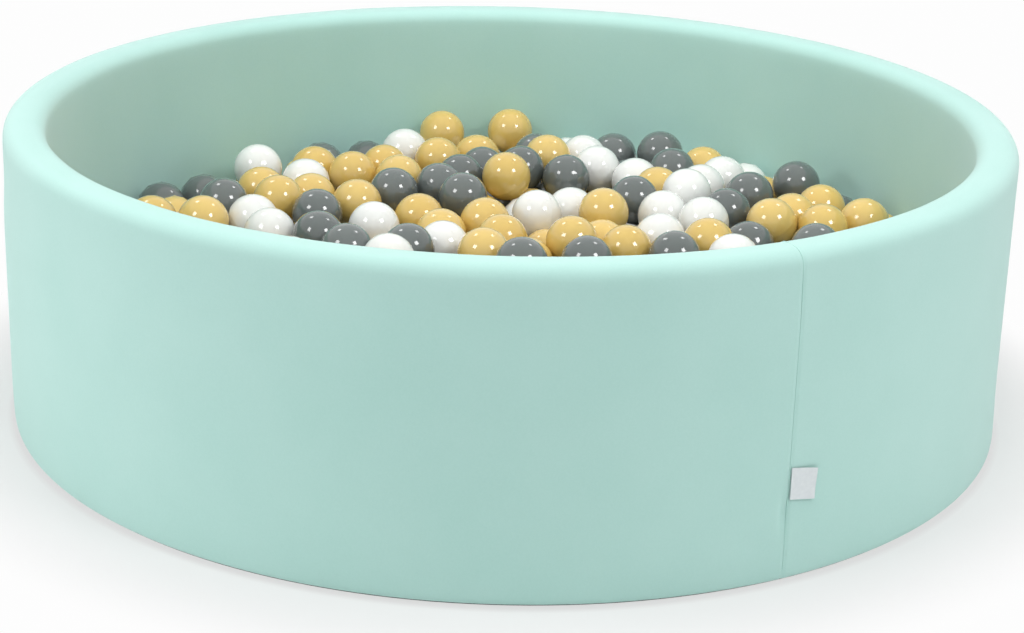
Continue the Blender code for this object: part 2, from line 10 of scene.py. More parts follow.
import bmesh
import bpy
import numpy as np
from mathutils import Matrix, Vector


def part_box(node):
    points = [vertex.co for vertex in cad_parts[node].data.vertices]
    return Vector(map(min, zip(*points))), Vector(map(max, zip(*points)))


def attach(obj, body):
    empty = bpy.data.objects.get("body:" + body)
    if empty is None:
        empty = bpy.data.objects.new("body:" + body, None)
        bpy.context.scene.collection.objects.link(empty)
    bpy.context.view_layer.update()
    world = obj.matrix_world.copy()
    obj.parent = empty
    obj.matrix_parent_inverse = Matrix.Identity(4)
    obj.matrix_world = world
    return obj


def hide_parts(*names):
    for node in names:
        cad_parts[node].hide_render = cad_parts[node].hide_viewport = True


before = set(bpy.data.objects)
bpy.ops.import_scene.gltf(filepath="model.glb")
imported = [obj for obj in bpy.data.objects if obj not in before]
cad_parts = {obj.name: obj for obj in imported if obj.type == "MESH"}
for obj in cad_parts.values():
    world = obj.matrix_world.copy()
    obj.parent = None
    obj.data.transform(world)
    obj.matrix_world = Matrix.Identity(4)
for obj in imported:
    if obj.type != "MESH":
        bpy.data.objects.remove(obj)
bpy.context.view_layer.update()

# %% [markdown]
# ## Sizes
# All sizes are in metres. The origin is on the floor in the middle of the ring, Z is up and the
# viewer stands towards -Y. The ring's cover is sewn shut at one upright seam, front right.

# %% Name the sizes
PIT_RADIUS = 0.650
PIT_HEIGHT = 0.393
WALL_THICKNESS = 0.057
RIM_ROUNDING = 0.022
FOOT_ROUNDING = 0.008
CLOTH = 0.0012
FIT = 0.0003
SEAM_ANGLE = math.radians(-61.2)
INNER_RADIUS = PIT_RADIUS - WALL_THICKNESS
ZIP_RADIUS = PIT_RADIUS - WALL_THICKNESS / 2
MAT_RADIUS = INNER_RADIUS - 0.0005
MAT_THICKNESS = 0.050
BALL_RADIUS = 0.035
BALL_LEVEL = 0.205
RING_STEPS = 48
FLATNESS = math.cos(math.pi / RING_STEPS)
print("ring", 2 * PIT_RADIUS, "m across,", PIT_HEIGHT, "m high")

# %% [markdown]
# ## Camera
# The camera was fitted to the outline of the ring in the photograph. Its place and the point that
# it looks at are shares of the ring's radius, the same ones that the rigid model's balls are read
# through, so every ball lands where the picture shows it.

# %% Set up the camera
EYE_SHARES = (-0.02585, -4.38431, 1.42108)
AIM_SHARES = (0.00772, -0.43508, 0.0)
EYE_ROLL = 0.0284
LENS_PIXELS = 2260.5
PICTURE_WIDTH = 1024
CENTRE_PIXEL = (512.0, 316.5)

eye = Vector(EYE_SHARES) * PIT_RADIUS + Vector((0, 0, BALL_LEVEL))
ahead = (Vector(AIM_SHARES) - Vector(EYE_SHARES)).normalized()
level = Vector((ahead.y, -ahead.x, 0)).normalized()
above = level.cross(ahead)
right = math.cos(EYE_ROLL) * level + math.sin(EYE_ROLL) * above
up = math.cos(EYE_ROLL) * above - math.sin(EYE_ROLL) * level

camera = bpy.data.objects.new("camera", bpy.data.cameras.new("camera"))
bpy.context.scene.collection.objects.link(camera)
camera.matrix_world = Matrix.Translation(eye) @ Matrix((right, up, -ahead)).transposed().to_4x4()
camera.data.sensor_width = 36
camera.data.lens = camera.data.sensor_width * LENS_PIXELS / PICTURE_WIDTH
bpy.context.scene.camera = camera
print("lens", round(camera.data.lens, 2), "mm")

# %% [markdown]
# ## Small helpers
# An operator works on whatever is selected, and the loaded model is selected after it comes in, so
# each step starts by letting go of everything. Points are then picked by where they are.

# %% Helpers for picking things up
def let_go():
    if bpy.context.object and bpy.context.object.mode != "OBJECT":
        bpy.ops.object.mode_set(mode="OBJECT")
    bpy.ops.object.select_all(action="DESELECT")


def named(name):
    """The piece that the last step made, with its name."""
    piece = bpy.context.object
    piece.name = piece.data.name = name
    return piece


def copied(piece):
    """A copy with a mesh of its own, put in the scene."""
    twin = piece.copy()
    twin.data = piece.data.copy()
    bpy.context.scene.collection.objects.link(twin)
    return twin


def take(piece, mode="OBJECT"):
    let_go()
    piece.select_set(True)
    bpy.context.view_layer.objects.active = piece
    bpy.ops.object.mode_set(mode=mode)


def pick(piece, kind, test):
    """In edit mode, select only the points, edges or faces whose middle passes a test."""
    modes = {"verts": "VERT", "edges": "EDGE", "faces": "FACE"}
    bpy.ops.mesh.select_mode(type=modes[kind])
    bpy.ops.mesh.select_all(action="DESELECT")
    shape = bmesh.from_edit_mesh(piece.data)
    chosen = 0
    for part in getattr(shape, kind):
        corners = [part] if kind == "verts" else part.verts
        middle = sum((corner.co for corner in corners), Vector()) / len(corners)
        if test(middle):
            part.select_set(True)
            chosen += 1
    shape.select_flush_mode()
    bmesh.update_edit_mesh(piece.data)
    return chosen


def pick_all():
    bpy.ops.mesh.select_all(action="SELECT")


def close_up(piece, crease=40):
    """Merge doubles, point every face outwards, and shade smooth but for sharp corners."""
    take(piece, "EDIT")
    pick_all()
    bpy.ops.mesh.remove_doubles(threshold=1e-5)
    bpy.ops.mesh.normals_make_consistent(inside=False)
    bpy.ops.object.mode_set(mode="OBJECT")
    bpy.ops.object.shade_smooth_by_angle(angle=math.radians(crease))
    let_go()
    return piece


def loop_of_points(name, corners, place, fill="NOTHING"):
    """A closed loop with one point for each corner, put where place(corner) says."""
    let_go()
    bpy.ops.mesh.primitive_circle_add(vertices=len(corners), radius=1, fill_type=fill)
    piece = named(name)
    for point, corner in zip(piece.data.vertices, corners):
        point.co = place(corner)
    take(piece, "EDIT")
    return piece


def pull_out(push):
    """Extrude what is selected, by a distance in each direction."""
    bpy.ops.mesh.extrude_region_move(TRANSFORM_OT_translate={"value": push})


def apply_all(piece):
    take(piece)
    for modifier in list(piece.modifiers):
        bpy.ops.object.modifier_apply(modifier=modifier.name)
    let_go()


def thicken(piece, thickness, side=-1):
    """Give a skin its thickness, inwards or outwards."""
    solid = piece.modifiers.new("thickness", "SOLIDIFY")
    solid.thickness = thickness
    solid.offset = side
    solid.use_even_offset = True
    apply_all(piece)


def around(radius, height, angle):
    return Vector((radius * math.cos(angle), radius * math.sin(angle), height))


def dress(piece, node, body, finish):
    """Give a piece its finish, and let it stand for a node of the rigid model."""
    piece.data.materials.append(finish)
    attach(piece, body)
    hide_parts(node)


def smooth_once(piece):
    smoother = piece.modifiers.new("smoother", "SUBSURF")
    smoother.levels = smoother.render_levels = 1
    apply_all(piece)


def places(piece):
    co = np.empty(len(piece.data.vertices) * 3)
    piece.data.vertices.foreach_get("co", co)
    return co.reshape(-1, 3)


def put_places(piece, co):
    piece.data.vertices.foreach_set("co", np.ascontiguousarray(co, dtype=np.float32).ravel())
    piece.data.update()


# %% [markdown]
# ## Spinning a section
# Nearly everything in the ring is one cross-section carried round the middle. A circle gives the
# right number of points, they are put on the section, and Spin carries them round.

# %% Helpers for ring-shaped pieces
SMOOTH_STEPS = 192


def section(name, corners, is_open=False, angle=SEAM_ANGLE):
    """A loop of points on a section of the ring, in edit mode and selected, ready to spin."""
    piece = loop_of_points(name, corners, lambda corner: around(*corner, angle))
    if is_open:
        gap = (around(*corners[0], angle) + around(*corners[-1], angle)) / 2
        pick(piece, "edges", lambda middle: (middle - gap).length < 1e-7)
        bpy.ops.mesh.delete(type="EDGE_FACE")
        bpy.ops.mesh.select_mode(type="VERT")
    pick_all()
    return piece


def spin(steps, sweep=math.tau):
    bpy.ops.mesh.spin(steps=steps, angle=sweep, center=(0, 0, 0), axis=(0, 0, 1))


def spun(name, corners, is_open=False, steps=SMOOTH_STEPS):
    piece = section(name, corners, is_open)
    spin(steps)
    return close_up(piece)


def arc(middle, radius, start, end, steps):
    turns = [math.radians(start + (end - start) * k / steps) for k in range(steps + 1)]
    return [(middle[0] + radius * math.cos(a), middle[1] + radius * math.sin(a)) for a in turns]


def wall_section(inset, rows, bends):
    """The ring's section from the outer foot, over the rim, to the inner foot."""
    top = PIT_HEIGHT - RIM_ROUNDING
    bend = RIM_ROUNDING - inset
    foot = FOOT_ROUNDING - inset
    outer, inner = PIT_RADIUS - inset, INNER_RADIUS + inset
    heights = [FOOT_ROUNDING + (top - FOOT_ROUNDING) * k / rows for k in range(1, rows)]
    corners = arc((PIT_RADIUS - FOOT_ROUNDING, FOOT_ROUNDING), foot, -90, 0, 3)
    corners += [(outer, z) for z in heights]
    corners += arc((PIT_RADIUS - RIM_ROUNDING, top), bend, 0, 90, bends)
    corners += arc((INNER_RADIUS + RIM_ROUNDING, top), bend, 90, 180, bends)
    corners += [(inner, z) for z in reversed(heights)]
    corners += arc((INNER_RADIUS + FOOT_ROUNDING, FOOT_ROUNDING), foot, 180, 270, 3)
    return corners


# %% [markdown]
# ## Cloth maps
# A knit follows the cloth and not the room, so each cloth piece gets a flat map in metres: one
# way runs round the ring, counted from the seam, and the other up and over its section.

# %% Helper for cloth maps
def lay_cloth(piece, across):
    """Map a piece by its run round the ring and by across(radius, height), both in metres."""
    co = places(piece)
    angle = (np.arctan2(co[:, 1], co[:, 0]) - SEAM_ANGLE) % math.tau
    along = across(np.hypot(co[:, 0], co[:, 1]), co[:, 2])
    uv = np.empty((len(piece.data.loops), 2))
    for face in piece.data.polygons:
        turns = angle[list(face.vertices)]
        if turns.max() - turns.min() > math.pi:
            turns = np.where(turns < math.pi, turns + math.tau, turns)
        rows = slice(face.loop_start, face.loop_start + face.loop_total)
        uv[rows, 0] = turns * PIT_RADIUS
        uv[rows, 1] = along[list(face.vertices)]
    layer = piece.data.uv_layers.new(name="cloth")
    layer.data.foreach_set("uv", uv.ravel())


def lay_flat(piece, rise):
    """Map a straight piece in metres by its own x and one more axis, given by number."""
    co = places(piece)
    layer = piece.data.uv_layers.new(name="cloth")
    for loop, corner in zip(piece.data.loops, layer.data):
        corner.uv = (co[loop.vertex_index, 0], co[loop.vertex_index, rise])


def over_the_wall(radius, height):
    """How far up and over the ring's section a point is, from the outer foot."""
    drop = PIT_RADIUS - radius
    outer = radius > ZIP_RADIUS
    return np.where(outer, height + drop, 2 * PIT_HEIGHT - height + drop)


# %% [markdown]
# ## Finishes
# Each finish is a small tree of nodes with the shader's own sockets set for what is the same all
# over. The jersey is a fine knit: upright columns of V-shaped stitches, about a millimetre wide,
# with a soft fuzz that catches light at glancing angles. That is what its sheen stands for.

# %% Helpers for node trees
def paint(red, green, blue):
    """A colour as a monitor shows it, 0 to 255, turned into the linear one that light needs."""
    shares = [value / 255 for value in (red, green, blue)]
    linear = [s / 12.92 if s < 0.04045 else ((s + 0.055) / 1.055) ** 2.4 for s in shares]
    return (*linear, 1.0)


def new_finish(name, **sockets):
    """A material, its tree, its shader and the coordinates that its patterns are laid on."""
    material = bpy.data.materials.new(name)
    material.use_nodes = True
    shader = material.node_tree.nodes["Principled BSDF"]
    for socket, value in sockets.items():
        shader.inputs[socket.replace("_", " ")].default_value = value
    where = add_node(material.node_tree, "TexCoord").outputs
    return material, material.node_tree, shader, where


def add_node(tree, kind, **settings):
    made = tree.nodes.new("ShaderNode" + kind)
    for name, value in settings.items():
        setattr(made, name, value)
    return made


def reckon(tree, operation, *values):
    """One step of arithmetic. Each value is a number or the output of another node."""
    made = add_node(tree, "Math", operation=operation)
    for socket, value in zip(made.inputs, values):
        if isinstance(value, (int, float)):
            socket.default_value = value
        else:
            tree.links.new(value, socket)
    return made.outputs[0]


def spots(tree, coordinates, scale, detail=2.0):
    noise = add_node(tree, "TexNoise")
    noise.inputs["Scale"].default_value = scale
    noise.inputs["Detail"].default_value = detail
    tree.links.new(coordinates, noise.inputs["Vector"])
    return noise.outputs["Fac"]


def blend_colours(tree, factor, first, second):
    mix = add_node(tree, "Mix", data_type="RGBA")
    for socket in mix.inputs:
        if socket.type == "RGBA":
            socket.default_value = first if socket.name == "A" else second
    tree.links.new(factor, mix.inputs["Factor"])
    return [out for out in mix.outputs if out.type == "RGBA"][0]


def colour_by(tree, shader, factor, dark, light):
    """Let a pattern blend two colours, given as a monitor shows them."""
    colour = blend_colours(tree, factor, paint(*dark), paint(*light))
    tree.links.new(colour, shader.inputs["Base Color"])


def span(tree, value, ends, smooth=True):
    """Turn a range into another. The ends are from, from, to and to."""
    kind = "SMOOTHSTEP" if smooth else "LINEAR"
    made = add_node(tree, "MapRange", interpolation_type=kind)
    tree.links.new(value, made.inputs["Value"])
    for socket, end in zip(("From Min", "From Max", "To Min", "To Max"), ends):
        made.inputs[socket].default_value = end
    return made.outputs[0]


def far_out(tree, across, along):
    """How far a place is from the middle, in the plane."""
    squares = [reckon(tree, "POWER", value, 2.0) for value in (across, along)]
    return reckon(tree, "SQRT", reckon(tree, "ADD", *squares))


def raise_up(tree, shader, height, distance, strength=1.0):
    """Let a height pattern tilt the surface, a distance in metres deep."""
    bump = add_node(tree, "Bump")
    bump.inputs["Strength"].default_value = strength
    bump.inputs["Distance"].default_value = distance
    tree.links.new(height, bump.inputs["Height"])
    tree.links.new(bump.outputs["Normal"], shader.inputs["Normal"])


def axes(tree, coordinates):
    split = add_node(tree, "SeparateXYZ")
    tree.links.new(coordinates, split.inputs[0])
    return split.outputs


# %% Jersey, the ring's and the mat's cloth
WALE = 0.0010
COURSE = 0.0008


def stitches(tree, coordinates):
    """Columns of V-shaped loops on a cloth map in metres, from 0 to about 1."""
    run, rise, _ = axes(tree, coordinates)
    column = reckon(tree, "PINGPONG", reckon(tree, "DIVIDE", run, WALE), 0.5)
    ridge = reckon(tree, "MULTIPLY", column, 1.2)
    slant = reckon(tree, "ADD", reckon(tree, "DIVIDE", rise, COURSE), column)
    loops = reckon(tree, "SINE", reckon(tree, "MULTIPLY", slant, math.tau))
    return reckon(tree, "ADD", ridge, reckon(tree, "MULTIPLY", loops, 0.2))


def jersey_finish(name):
    material, tree, shader, where = new_finish(
        name, Roughness=0.92, Sheen_Weight=0.32, Sheen_Roughness=0.70, Specular_IOR_Level=0.18
    )
    height = stitches(tree, where["UV"])
    thick_and_thin = spots(tree, where["Object"], 9.0, 3.0)
    heather = spots(tree, where["Object"], 420.0, 1.0)
    shade = reckon(tree, "ADD", reckon(tree, "MULTIPLY", thick_and_thin, 0.6),
                   reckon(tree, "MULTIPLY", heather, 0.4))
    colour_by(tree, shader, shade, (166, 211, 202), (183, 221, 214))
    raise_up(tree, shader, height, 0.00012, 0.5)
    return material


mint_jersey = jersey_finish("mint jersey")
print("made", mint_jersey.name)

# %% [markdown]
# The foam block shows only at the zip. It is an open-celled foam, pale yellow, with pores of about
# a millimetre, so cells of a Voronoi pattern make its pits.

# %% Foam
def foam_finish():
    material, tree, shader, where = new_finish("cut foam", Roughness=1.0, Specular_IOR_Level=0.1)
    cells = add_node(tree, "TexVoronoi")
    cells.inputs["Scale"].default_value = 900.0
    tree.links.new(where["Object"], cells.inputs["Vector"])
    aged = spots(tree, where["Object"], 6.0)
    colour_by(tree, shader, aged, (226, 214, 176), (238, 230, 200))
    raise_up(tree, shader, cells.outputs["Distance"], 0.0006, 0.6)
    return material


cut_foam = foam_finish()

# %% [markdown]
# The non-slip cloth under the ring and the mat is a grey weave with rows of small rubber dots that
# grip the floor. The dots are raised and shinier than the weave between them.

# %% Non-slip cloth
DOT_PITCH = 0.006
WEAVE_FINENESS = 7000.0


def grip_finish():
    material, tree, shader, where = new_finish("dotted grip cloth", Specular_IOR_Level=0.4)
    across, along, _ = axes(tree, where["Object"])
    dx = reckon(tree, "PINGPONG", reckon(tree, "DIVIDE", across, DOT_PITCH), 0.5)
    dy = reckon(tree, "PINGPONG", reckon(tree, "DIVIDE", along, DOT_PITCH), 0.5)
    dot = span(tree, far_out(tree, dx, dy), (0.24, 0.16, 0.0, 1.0))
    slanted = reckon(tree, "MULTIPLY", reckon(tree, "ADD", across, along), WEAVE_FINENESS)
    weave = reckon(tree, "SINE", slanted)
    height = reckon(tree, "ADD", dot, reckon(tree, "MULTIPLY", weave, 0.08))
    colour_by(tree, shader, dot, (112, 118, 118), (84, 90, 91))
    rough = reckon(tree, "SUBTRACT", 0.9, reckon(tree, "MULTIPLY", dot, 0.4))
    tree.links.new(rough, shader.inputs["Roughness"])
    raise_up(tree, shader, height, 0.0004, 0.8)
    return material


grip_cloth = grip_finish()

# %% [markdown]
# The label is a folded satin ribbon. Satin has long floats one way, so it gets fine threads along
# its width and a highlight that is drawn out across them.

# %% Satin, zip tape, zip coil and zinc
def satin_finish():
    material, tree, shader, where = new_finish(
        "label satin", Roughness=0.42, Anisotropic=0.5, Sheen_Weight=0.25, Specular_IOR_Level=0.6
    )
    rise = axes(tree, where["UV"])[1]
    threads = reckon(tree, "SINE", reckon(tree, "MULTIPLY", rise, math.tau / 0.0005))
    slubs = spots(tree, where["Object"], 160.0, 3.0)
    colour_by(tree, shader, slubs, (206, 213, 216), (226, 231, 233))
    raise_up(tree, shader, threads, 0.00004, 0.5)
    return material


def tape_finish():
    material, tree, shader, where = new_finish("zip tape", Roughness=0.85, Specular_IOR_Level=0.2)
    run = axes(tree, where["UV"])[0]
    ribs = reckon(tree, "SINE", reckon(tree, "MULTIPLY", run, math.tau / 0.0008))
    worn = spots(tree, where["Object"], 60.0)
    colour_by(tree, shader, worn, (150, 200, 188), (162, 209, 198))
    raise_up(tree, shader, ribs, 0.00008, 0.6)
    return material


def coil_finish():
    material, tree, shader, where = new_finish("zip coil", Roughness=0.4)
    run = axes(tree, where["UV"])[0]
    turns = reckon(tree, "SINE", reckon(tree, "MULTIPLY", run, math.tau / 0.0015))
    # Painted shade: the gaps between the coil's turns are coloured darker and the raised turns
    # lighter, as light and shade would fall on them.
    painted_turn_shade = reckon(tree, "MULTIPLY_ADD", turns, 0.5, 0.5)
    colour_by(tree, shader, painted_turn_shade, (118, 168, 156), (160, 208, 196))
    raise_up(tree, shader, turns, 0.0003, 0.9)
    return material


def zinc_finish():
    material, tree, shader, where = new_finish("cast zinc", Metallic=1.0)
    grain = spots(tree, where["Object"], 1500.0, 4.0)
    rough = reckon(tree, "MULTIPLY_ADD", grain, 0.25, 0.25)
    tree.links.new(rough, shader.inputs["Roughness"])
    colour_by(tree, shader, grain, (176, 178, 178), (200, 202, 202))
    raise_up(tree, shader, grain, 0.00005, 0.4)
    return material


label_satin, zip_tape = satin_finish(), tape_finish()
zip_coil, cast_zinc = coil_finish(), zinc_finish()

# %% [markdown]
# The balls are blown from soft plastic in a two-part mould. The colour is even, with a slightly
# different shade from ball to ball. Each point of a ball remembers its place on the ball that it
# was copied from, in an attribute named own, so the mould's faint marks turn with each ball.

# %% Ball plastics
def ball_finish(name, dark, light):
    material, tree, shader, _ = new_finish(name, Roughness=0.10, IOR=1.5, Coat_Weight=0.6)
    shader.inputs["Coat Roughness"].default_value = 0.04
    own = add_node(tree, "Attribute", attribute_name="own")
    shade = add_node(tree, "Attribute", attribute_name="shade")
    cloudy = spots(tree, own.outputs["Vector"], 1.3, 1.0)
    mixed = reckon(tree, "ADD", reckon(tree, "MULTIPLY", cloudy, 0.35),
                   reckon(tree, "MULTIPLY", shade.outputs["Fac"], 0.65))
    colour_by(tree, shader, mixed, dark, light)
    skin = spots(tree, own.outputs["Vector"], 26.0, 3.0)
    tree.links.new(reckon(tree, "MULTIPLY_ADD", skin, 0.05, 0.06), shader.inputs["Roughness"])
    raise_up(tree, shader, skin, 0.00006, 0.35)
    return material


BALL_FINISHES = {
    "beige": ball_finish("beige ball", (207, 175, 93), (219, 189, 111)),
    "grey": ball_finish("grey ball", (89, 96, 95), (101, 108, 106)),
    "white": ball_finish("white ball", (222, 224, 220), (232, 233, 230)),
}
print("ball plastics:", len(BALL_FINISHES))

# %% [markdown]
# ## The ring's jersey sleeve
# The cover is a sleeve of jersey pulled over the foam. It fits tightly, but its walls still swell
# a little between the foot, where it is sewn to the base, and the rim. The skin starts slightly
# small, and a cloth simulation blows it up. Left alone it would go on by over 100 mm, so what
# shapes the sleeve is the cap: each point keeps its direction, and moves by no more than that.

# %% Helper that fills a cloth
FILL_FRAMES = 20
PRESSURE = 3.0


def swell(piece, held, most):
    """Fill a cloth from inside. The held points stay, and no other goes further than most."""
    rest = places(piece)
    group = piece.vertex_groups.new(name="held")
    group.add([int(i) for i in np.flatnonzero(held(rest))], 1.0, "REPLACE")
    cloth = piece.modifiers.new("cloth", "CLOTH")
    cloth.settings.vertex_group_mass = "held"
    cloth.settings.use_pressure = True
    cloth.settings.uniform_pressure_force = PRESSURE
    cloth.settings.effector_weights.gravity = 0
    cloth.point_cache.frame_end = FILL_FRAMES
    for frame_number in range(1, FILL_FRAMES + 1):
        bpy.context.scene.frame_set(frame_number)
    filled = piece.evaluated_get(bpy.context.evaluated_depsgraph_get())
    co = np.empty(len(rest) * 3)
    filled.data.vertices.foreach_get("co", co)
    piece.modifiers.remove(cloth)
    piece.vertex_groups.remove(group)
    bpy.context.scene.frame_set(1)
    move = co.reshape(-1, 3) - rest
    length = np.linalg.norm(move, axis=1, keepdims=True)
    move *= most * np.tanh(length / most) / np.maximum(length, 1e-12)
    put_places(piece, rest + move)
    furthest = round(float(length.max()) * 1000, 1)
    print(piece.name, "filled, furthest move", furthest, "mm before the cap")


# %% Spin the sleeve and fill it
SWELL = 0.0015
FINE_SWEEP = math.radians(10)

sleeve = section("ring_jersey", wall_section(SWELL, 13, 5), is_open=True,
                 angle=SEAM_ANGLE + FINE_SWEEP / 2)
spin(20, FINE_SWEEP)
spin(140, math.tau - FINE_SWEEP)
close_up(sleeve, 60)
print("sleeve points:", len(sleeve.data.vertices))
swell(sleeve, lambda co: co[:, 2] < FOOT_ROUNDING, SWELL)
smooth_once(sleeve)

# %% [markdown]
# The foam is one long block bent round, with its two ends butted at the seam. Bent foam stays
# straighter near its ends, so the ring has a very slight corner there. The sewn seam draws the
# cloth in along that corner, and beside the label it has pulled a soft upright dent.

# %% Shape the cloth at the seam
FLANK = math.radians(2.4)
GROOVE_DEPTH = 0.0011
GROOVE_WIDTH = 0.0016
DENT = {"beside": 0.006, "height": 0.084, "width": 0.0060, "length": 0.022, "depth": 0.0034}

co = places(sleeve)
radius = np.hypot(co[:, 0], co[:, 1])
turn = (np.arctan2(co[:, 1], co[:, 0]) - SEAM_ANGLE + math.pi) % math.tau - math.pi
run = turn * PIT_RADIUS
middle_height = PIT_HEIGHT - RIM_ROUNDING
new_radius = radius / np.cos(np.maximum(FLANK - np.abs(turn), 0))
pulled = GROOVE_DEPTH * np.exp(-(run / GROOVE_WIDTH) ** 2)
on_outside = radius > ZIP_RADIUS
up_the_wall = np.clip((co[:, 2] - middle_height) / RIM_ROUNDING, 0, 1)
new_radius -= np.where(on_outside, pulled * (1 - up_the_wall ** 2), 0)
dent = DENT["depth"] * np.exp(-((run + DENT["beside"]) / DENT["width"]) ** 2)
dent *= np.exp(-((co[:, 2] - DENT["height"]) / DENT["length"]) ** 2)
new_radius -= np.where(on_outside, dent, 0)
co[:, :2] *= (new_radius / radius)[:, None]
co[:, 2] -= np.where(on_outside, pulled * up_the_wall ** 2, 0)
put_places(sleeve, co)
thicken(sleeve, CLOTH)
lay_cloth(sleeve, over_the_wall)
close_up(sleeve, 60)
dress(sleeve, "wall_cover", "pit_wall", mint_jersey)
print("sleeve faces:", len(sleeve.data.polygons))

# %% [markdown]
# ## The seam
# From outside, a flat-felled seam in jersey is a thin dark line: two edges of cloth pressed
# together at the bottom of a shallow groove. It is drawn as a curve up the outside and over the
# rim, laid on the sleeve's own skin, given the curve's round bevel, and turned into a mesh. Short
# threads show where it is stitched.

# %% Sew the seam
SEAM_BEAD = 0.0007
SEAM_REACH = 0.010
STITCH_PITCH = 0.0036
STITCH_HALF_TURN = 0.0009
THREAD = 0.0003


def tube(name, path, radius, sides=2):
    """A thin round piece along a path, drawn as a curve and turned into a mesh."""
    curve = bpy.data.curves.new(name, "CURVE")
    curve.dimensions = "3D"
    curve.bevel_depth = radius
    curve.bevel_resolution = sides
    curve.use_fill_caps = True
    line = curve.splines.new("POLY")
    line.points.add(len(path) - 1)
    for point, place in zip(line.points, path):
        point.co = (*place, 1.0)
    piece = bpy.data.objects.new(name, curve)
    bpy.context.scene.collection.objects.link(piece)
    take(piece)
    bpy.ops.object.convert(target="MESH")
    piece = named(name)
    let_go()
    return piece


def join(name, pieces):
    """Join pieces into one mesh."""
    let_go()
    for piece in pieces:
        piece.select_set(True)
    bpy.context.view_layer.objects.active = pieces[0]
    bpy.ops.object.join()
    whole = named(name)
    let_go()
    return whole


def laid_on(piece, path, lift):
    """Put a path on a piece's skin, square to the ring's section, and lift it a little."""
    across = Vector((-math.sin(SEAM_ANGLE), math.cos(SEAM_ANGLE), 0))
    laid = []
    for before, place, after in zip(path, path[1:], path[2:]):
        out = across.cross(after - before).normalized()
        found, skin, _, _ = piece.ray_cast(place + out * SEAM_REACH, -out, distance=2 * SEAM_REACH)
        if found:
            laid.append(skin + out * lift)
    return laid


seam_path = [around(r, z, SEAM_ANGLE) for r, z in wall_section(GROOVE_DEPTH, 60, 10)[3:-66]]
seam_path = laid_on(sleeve, seam_path, SEAM_BEAD / 5)
print("seam laid on", len(seam_path), "points")
bead = tube("seam_bead", seam_path, SEAM_BEAD)
stitch_ends = [around(PIT_RADIUS, 0, SEAM_ANGLE - STITCH_HALF_TURN),
               around(PIT_RADIUS, 0, SEAM_ANGLE + STITCH_HALF_TURN)]
stitch = tube("stitch", stitch_ends, THREAD, 1)
threads = []
for k in range(1, int((PIT_HEIGHT - 2 * RIM_ROUNDING) / STITCH_PITCH)):
    thread = copied(stitch)
    thread.data.transform(Matrix.Translation((0, 0, FOOT_ROUNDING + k * STITCH_PITCH)))
    thread.data.transform(Matrix.Translation(around(-SEAM_BEAD, 0, SEAM_ANGLE)))
    threads.append(thread)
bpy.data.objects.remove(stitch)
ring_seam = close_up(join("ring_seam", [bead] + threads))
lay_cloth(ring_seam, over_the_wall)
dress(ring_seam, "cover_seam", "pit_wall", mint_jersey)
print("stitches:", len(threads))

# %% [markdown]
# ## The label
# A short satin ribbon folded in two, its ends caught in the seam. Its free edge is the fold, which
# stands a little off the wall. It is bare, so its weave, hems and curl are all that it shows.

# %% Fold the label
LABEL_WIDTH = 0.035
LABEL_HEIGHT = 0.038
LABEL_BOTTOM = 0.102
LABEL_STAND = 0.0012
LABEL_ROWS, LABEL_COLUMNS = 12, 14
LABEL_START = 0.0012
LABEL_HALF_GAP = 0.0005
FOLD_POWER, FOLD_LEAST = 12, 0.04
RIBBON = 0.00022
HEM = 0.0036
CURL, RIPPLE, DROOP = 0.0016, 0.0005, 0.0050


def on_the_wall(run, out, height):
    """A point beside the seam: how far along the wall, how far off it, and how high."""
    return around(PIT_RADIUS + out, height, SEAM_ANGLE + run / PIT_RADIUS)


def on_the_fold(corner):
    """A point of the folded ribbon's edge, where the two layers close up towards the fold."""
    run, layer = corner
    rounded = math.sqrt(max(1 - (run / LABEL_WIDTH) ** FOLD_POWER, FOLD_LEAST))
    return Vector((run, LABEL_STAND + layer * LABEL_HALF_GAP * rounded, 0))


front = [(LABEL_START + (LABEL_WIDTH - LABEL_START) * k / LABEL_COLUMNS, 1)
         for k in range(LABEL_COLUMNS + 1)]
back = [(run, -1) for run, _ in reversed(front)]
label = loop_of_points("side_tag", front + back, on_the_fold)
pick(label, "edges", lambda middle: middle.x < LABEL_START + 1e-4)
bpy.ops.mesh.delete(type="EDGE_FACE")
bpy.ops.mesh.select_mode(type="VERT")
pick_all()
for _ in range(LABEL_ROWS):
    pull_out((0, 0, LABEL_HEIGHT / LABEL_ROWS))
bpy.ops.object.mode_set(mode="OBJECT")
lay_flat(label, 2)
run, out, rise = places(label).T.copy()
free = (run / LABEL_WIDTH) ** 2
hem = RIBBON * ((run < HEM) | (run > LABEL_WIDTH - HEM))
curl = CURL * free * (0.5 + rise / LABEL_HEIGHT)
out += curl + RIPPLE * np.sin(rise * 130 + run * 90) * free + hem
rise -= DROOP * run / LABEL_WIDTH
bent = [on_the_wall(a, b, LABEL_BOTTOM + c) for a, b, c in zip(run, out, rise)]
put_places(label, np.array(bent))
thicken(label, RIBBON, 1)
close_up(label, 50)
dress(label, "side_label", "pit_wall", label_satin)
print("label points:", len(label.data.vertices))

# %% [markdown]
# ## Foam, base strips and zip under the ring
# Below, two strips of non-slip cloth close the cover, and a long zip runs between them. Their
# sections are the rigid model's own, only spun more finely and with softer corners. The two coils
# stay apart all along, as they do there; on a real zip they close behind the slider.

